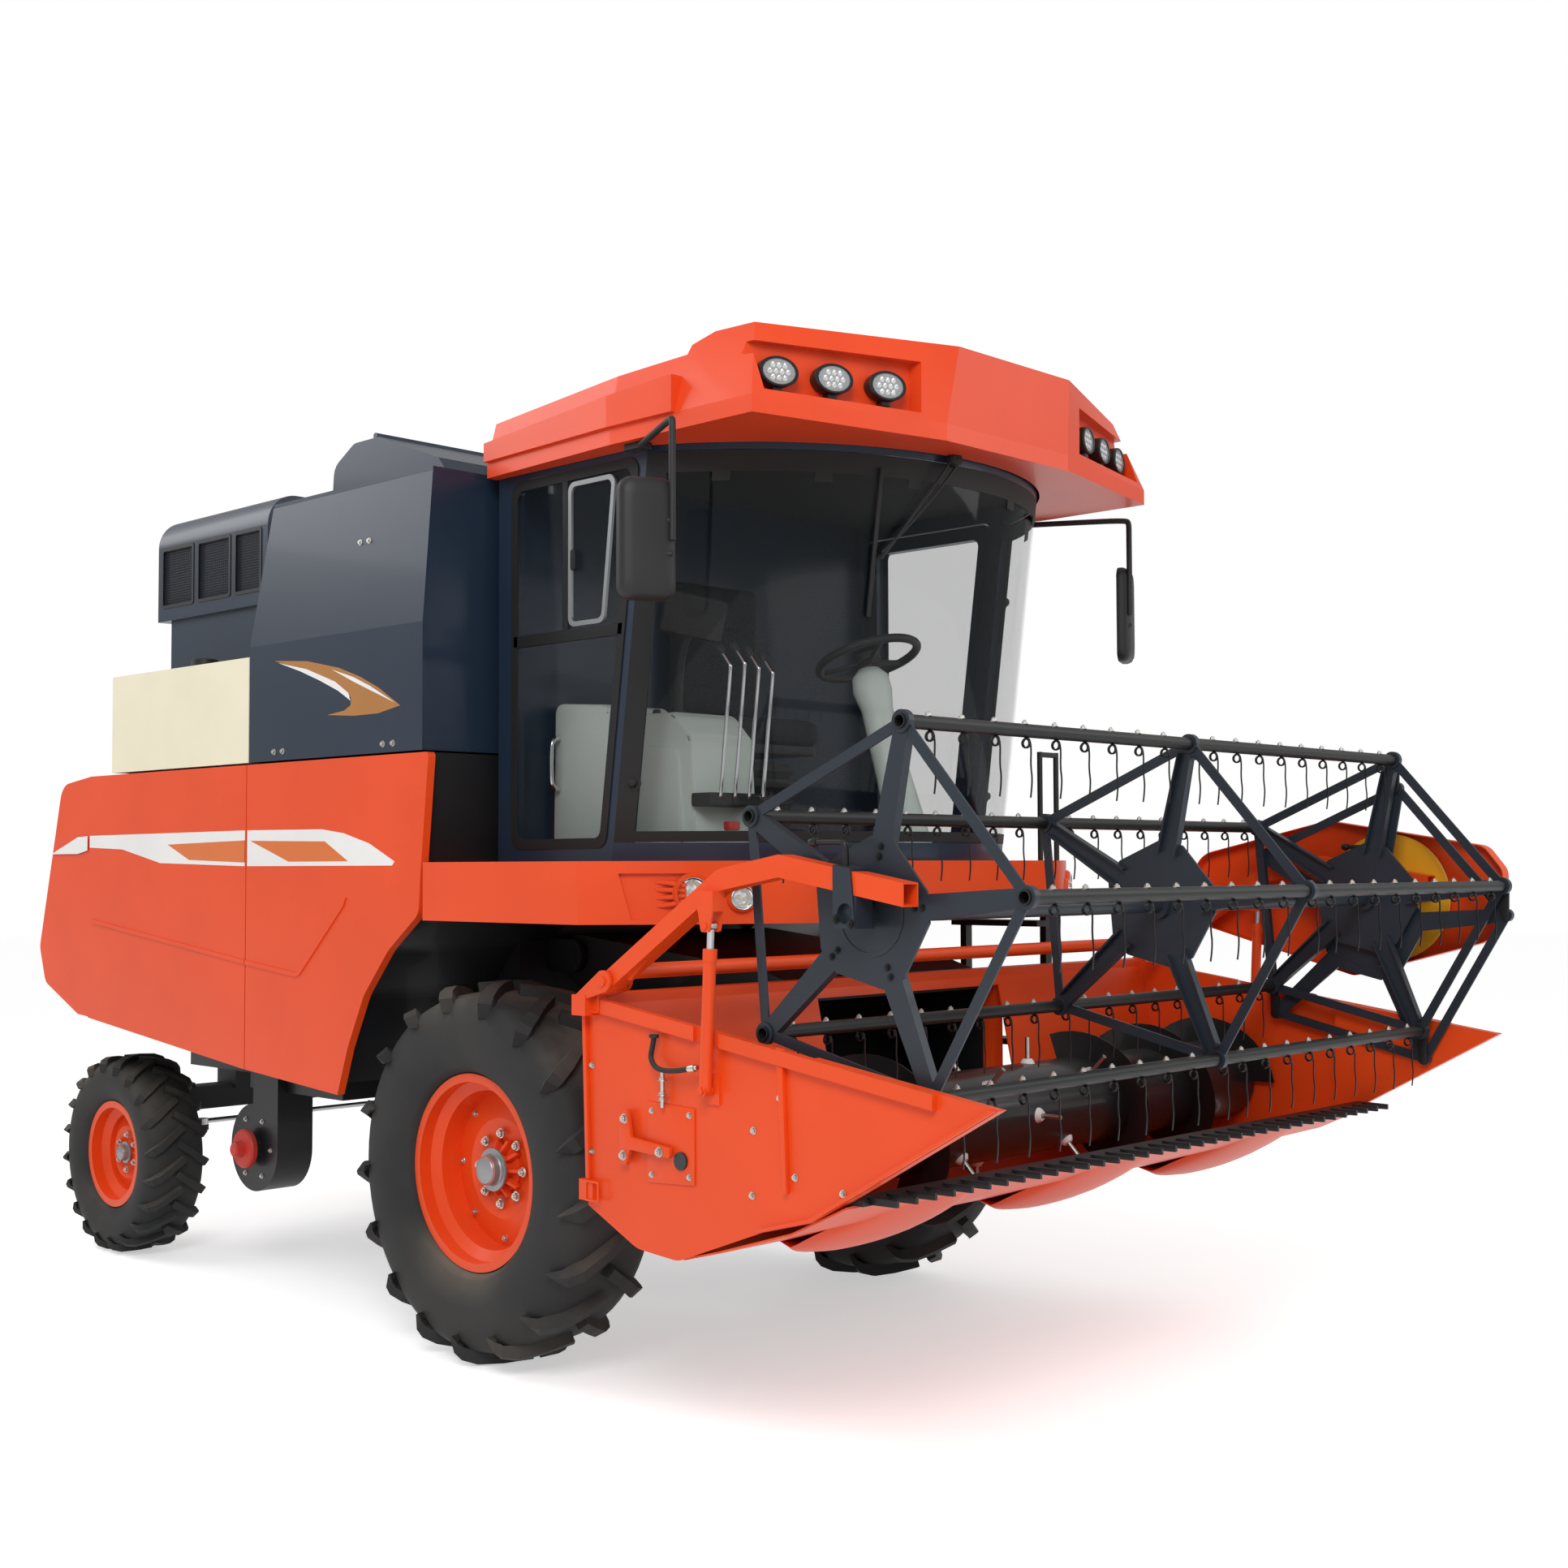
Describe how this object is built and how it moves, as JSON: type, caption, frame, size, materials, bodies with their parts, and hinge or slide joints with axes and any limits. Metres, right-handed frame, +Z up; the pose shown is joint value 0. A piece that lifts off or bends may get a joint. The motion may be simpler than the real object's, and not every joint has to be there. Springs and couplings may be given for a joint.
{
  "type": "self-propelled combine harvester",
  "caption": "Wheeled combine harvester with a tined reel, raised header, glazed cab, grain tank and folded unloading tube.",
  "frame": {"origin": "on the ground, under the middle of the whole machine as stored", "axes": "+X forward, +Y to the machine's left, +Z up"},
  "size_m": [5.5238, 3.017, 3.31],
  "materials": {
    "orange_paint": "gloss",
    "cream_paint": "gloss",
    "navy_paint": "satin",
    "dark_paint": "satin",
    "grey_paint": "satin",
    "black_plastic": "matte",
    "tyre_rubber": "matte",
    "clear_glass": "gloss",
    "lamp_lens": "gloss",
    "bright_steel": "satin",
    "seat_fabric": "matte",
    "cast_metal": "rough",
    "console_plastic": "satin",
    "yellow_paint": "gloss",
    "roof_plastic": "gloss"
  },
  "bodies": {
    "chassis": {"front_axle": "cast_metal", "rear_axle": "cast_metal", "main_frame": "dark_paint", "thresher_body": "dark_paint", "tail_hood": "orange_paint", "grain_tank": "navy_paint", "intake_screen": "navy_paint", "side_box": "cream_paint", "engine_block": "cast_metal", "exhaust": "dark_paint", "elevator_boot": "dark_paint", "cab_frame": "navy_paint", "cab_glass": "clear_glass", "cab_roof": "roof_plastic", "lamps": "lamp_lens", "deck": "orange_paint", "fairing": "orange_paint", "seat": "seat_fabric", "controls": "console_plastic", "mirrors": "black_plastic", "ladder": "black_plastic"},
    "front_wheel_right": {"front_tyre_right": "tyre_rubber", "front_rim_right": "orange_paint"},
    "front_wheel_left": {"front_tyre_left": "tyre_rubber", "front_rim_left": "orange_paint"},
    "steering_right": {"knuckle_right": "cast_metal"},
    "steering_left": {"knuckle_left": "cast_metal"},
    "rear_wheel_right": {"rear_tyre_right": "tyre_rubber", "rear_rim_right": "orange_paint"},
    "rear_wheel_left": {"rear_tyre_left": "tyre_rubber", "rear_rim_left": "orange_paint"},
    "track_rod": {"tie_rod": "bright_steel"},
    "header": {"header_frame": "orange_paint", "feeder_house": "dark_paint", "cutter_bar": "dark_paint"},
    "auger": {"header_auger": "dark_paint"},
    "lift_cylinder_barrels": {"lift_barrels": "dark_paint"},
    "lift_cylinder_rods": {"lift_rods": "bright_steel"},
    "reel_carrier": {"reel_arms": "orange_paint", "reel_clamps": "dark_paint", "reel_guard": "orange_paint"},
    "reel": {"reel_frame": "dark_paint", "reel_pulley": "yellow_paint"},
    "eccentric": {"eccentric_spider": "dark_paint"},
    "reel_barrels": {"reel_cylinder_barrels": "orange_paint"},
    "reel_rods": {"reel_cylinder_rods": "bright_steel"},
    "unloader": {"unloading_auger": "navy_paint"},
    "door_cab": {"cab_door": "navy_paint", "cab_door_glass": "clear_glass"},
    "door_fr": {"door_front_right": "orange_paint"},
    "door_rr": {"door_rear_right": "orange_paint"},
    "door_fl": {"door_front_left": "orange_paint"},
    "door_rl": {"door_rear_left": "orange_paint"},
    "lid": {"tank_lid": "navy_paint"},
    "bar_1": {"tine_bar_1": "dark_paint"},
    "bar_2": {"tine_bar_2": "dark_paint"},
    "bar_3": {"tine_bar_3": "dark_paint"},
    "bar_4": {"tine_bar_4": "dark_paint"},
    "bar_5": {"tine_bar_5": "dark_paint"}
  },
  "joints": [
    {"name": "front_wheel_right_spin", "type": "hinge", "parent": "chassis", "child": "front_wheel_right", "pos_m": [0.298, -1.0665, 0.632], "axis": [0, 1, 0], "continuous": true},
    {"name": "front_wheel_left_spin", "type": "hinge", "parent": "chassis", "child": "front_wheel_left", "pos_m": [0.298, 0.7935, 0.632], "axis": [0, 1, 0], "continuous": true},
    {"name": "steer_left", "type": "hinge", "parent": "chassis", "child": "steering_left", "pos_m": [-2.34, 0.5485, 0.62], "axis": [0, 0, 1], "range_deg": [-35, 35]},
    {"name": "steer_right", "type": "hinge", "parent": "chassis", "child": "steering_right", "pos_m": [-2.34, -0.8215, 0.62], "axis": [0, 0, 1], "range_deg": [-35, 35]},
    {"name": "tie_rod_swing", "type": "hinge", "parent": "steering_left", "child": "track_rod", "pos_m": [-2.15, 0.5485, 0.545], "axis": [0, 0, 1], "range_deg": [-35, 35]},
    {"name": "rear_wheel_right_spin", "type": "hinge", "parent": "steering_right", "child": "rear_wheel_right", "pos_m": [-2.34, -1.0365, 0.42], "axis": [0, 1, 0], "continuous": true},
    {"name": "rear_wheel_left_spin", "type": "hinge", "parent": "steering_left", "child": "rear_wheel_left", "pos_m": [-2.34, 0.7635, 0.42], "axis": [0, 1, 0], "continuous": true},
    {"name": "header_lift", "type": "hinge", "parent": "chassis", "child": "header", "pos_m": [0.038, -0.0365, 1.32], "axis": [0, -1, 0], "range_deg": [-19, 3]},
    {"name": "auger_spin", "type": "hinge", "parent": "header", "child": "auger", "pos_m": [1.588, -0.0365, 0.832], "axis": [0, 1, 0], "continuous": true},
    {"name": "lift_cylinder_swing", "type": "hinge", "parent": "chassis", "child": "lift_cylinder_barrels", "pos_m": [0.358, -0.0365, 0.5], "axis": [0, -1, 0], "range_deg": [-26, 4.2]},
    {"name": "lift_cylinder_stroke", "type": "slide", "parent": "lift_cylinder_barrels", "child": "lift_cylinder_rods", "axis": [0.9585, 0, 0.285], "range_m": [-0.281, 0.0446]},
    {"name": "reel_lift", "type": "hinge", "parent": "header", "child": "reel_carrier", "pos_m": [1.298, -0.0365, 1.318], "axis": [0, -1, 0], "range_deg": [0, 20]},
    {"name": "reel_spin", "type": "hinge", "parent": "reel_carrier", "child": "reel", "pos_m": [2.231, -0.0365, 1.526], "axis": [0, 1, 0], "continuous": true},
    {"name": "eccentric_spin", "type": "hinge", "parent": "reel_carrier", "child": "eccentric", "pos_m": [2.231, -0.0365, 1.426], "axis": [0, 1, 0], "continuous": true},
    {"name": "bar_1_turn", "type": "hinge", "parent": "reel", "child": "bar_1", "pos_m": [2.34329, -0.0365, 2.0163], "axis": [0, 1, 0], "continuous": true},
    {"name": "bar_2_turn", "type": "hinge", "parent": "reel", "child": "bar_2", "pos_m": [2.73201, -0.0365, 1.57071], "axis": [0, 1, 0], "continuous": true},
    {"name": "bar_3_turn", "type": "hinge", "parent": "reel", "child": "bar_3", "pos_m": [2.42835, -0.0365, 1.06333], "axis": [0, 1, 0], "continuous": true},
    {"name": "bar_4_turn", "type": "hinge", "parent": "reel", "child": "bar_4", "pos_m": [1.85196, -0.0365, 1.19534], "axis": [0, 1, 0], "continuous": true},
    {"name": "bar_5_turn", "type": "hinge", "parent": "reel", "child": "bar_5", "pos_m": [1.79939, -0.0365, 1.78431], "axis": [0, 1, 0], "continuous": true},
    {"name": "reel_cylinder_swing", "type": "hinge", "parent": "header", "child": "reel_barrels", "pos_m": [1.711, -0.0365, 1.038], "axis": [0, -1, 0], "range_deg": [-0.1, 8.9]},
    {"name": "reel_cylinder_stroke", "type": "slide", "parent": "reel_barrels", "child": "reel_rods", "axis": [0.0514, 0, 0.9987], "range_m": [-0.0005, 0.142]},
    {"name": "unloader_swing", "type": "hinge", "parent": "chassis", "child": "unloader", "pos_m": [-1.182, 0.8135, 2.12], "axis": [0, 0, -1], "range_deg": [0, 90]},
    {"name": "cab_door_swing", "type": "hinge", "parent": "chassis", "child": "door_cab", "pos_m": [0.198, 0.9285, 2.32], "axis": [0, 0, 1], "range_deg": [0, 80]},
    {"name": "service_door_front_right", "type": "hinge", "parent": "chassis", "child": "door_fr", "pos_m": [-0.452, -1.2795, 2.039], "axis": [-1, 0, 0], "range_deg": [0, 75]},
    {"name": "service_door_rear_right", "type": "hinge", "parent": "chassis", "child": "door_rr", "pos_m": [-1.662, -1.2795, 2.039], "axis": [-1, 0, 0], "range_deg": [0, 75]},
    {"name": "service_door_front_left", "type": "hinge", "parent": "chassis", "child": "door_fl", "pos_m": [-0.452, 1.0065, 2.039], "axis": [1, 0, 0], "range_deg": [0, 75]},
    {"name": "service_door_rear_left", "type": "hinge", "parent": "chassis", "child": "door_rl", "pos_m": [-1.662, 1.0065, 2.039], "axis": [1, 0, 0], "range_deg": [0, 75]},
    {"name": "tank_lid_open", "type": "hinge", "parent": "chassis", "child": "lid", "pos_m": [-0.907, -0.1365, 3.012], "axis": [0, -1, 0], "range_deg": [0, 75]}
  ],
  "couplings": [
    {"joint": "steer_right", "follows": "steer_left", "ratio": 1},
    {"joint": "tie_rod_swing", "follows": "steer_left", "ratio": -1},
    {"joint": "lift_cylinder_swing", "follows": "header_lift", "ratio": 1.36},
    {"joint": "lift_cylinder_stroke", "follows": "header_lift", "m_per_rad": 0.845},
    {"joint": "reel_cylinder_swing", "follows": "reel_lift", "ratio": 0.4415},
    {"joint": "reel_cylinder_stroke", "follows": "reel_lift", "m_per_rad": 0.4045},
    {"joint": "eccentric_spin", "follows": "reel_spin", "ratio": 1},
    {"joint": "bar_1_turn", "follows": "reel_spin", "ratio": -1},
    {"joint": "bar_2_turn", "follows": "reel_spin", "ratio": -1},
    {"joint": "bar_3_turn", "follows": "reel_spin", "ratio": -1},
    {"joint": "bar_4_turn", "follows": "reel_spin", "ratio": -1},
    {"joint": "bar_5_turn", "follows": "reel_spin", "ratio": -1}
  ]
}
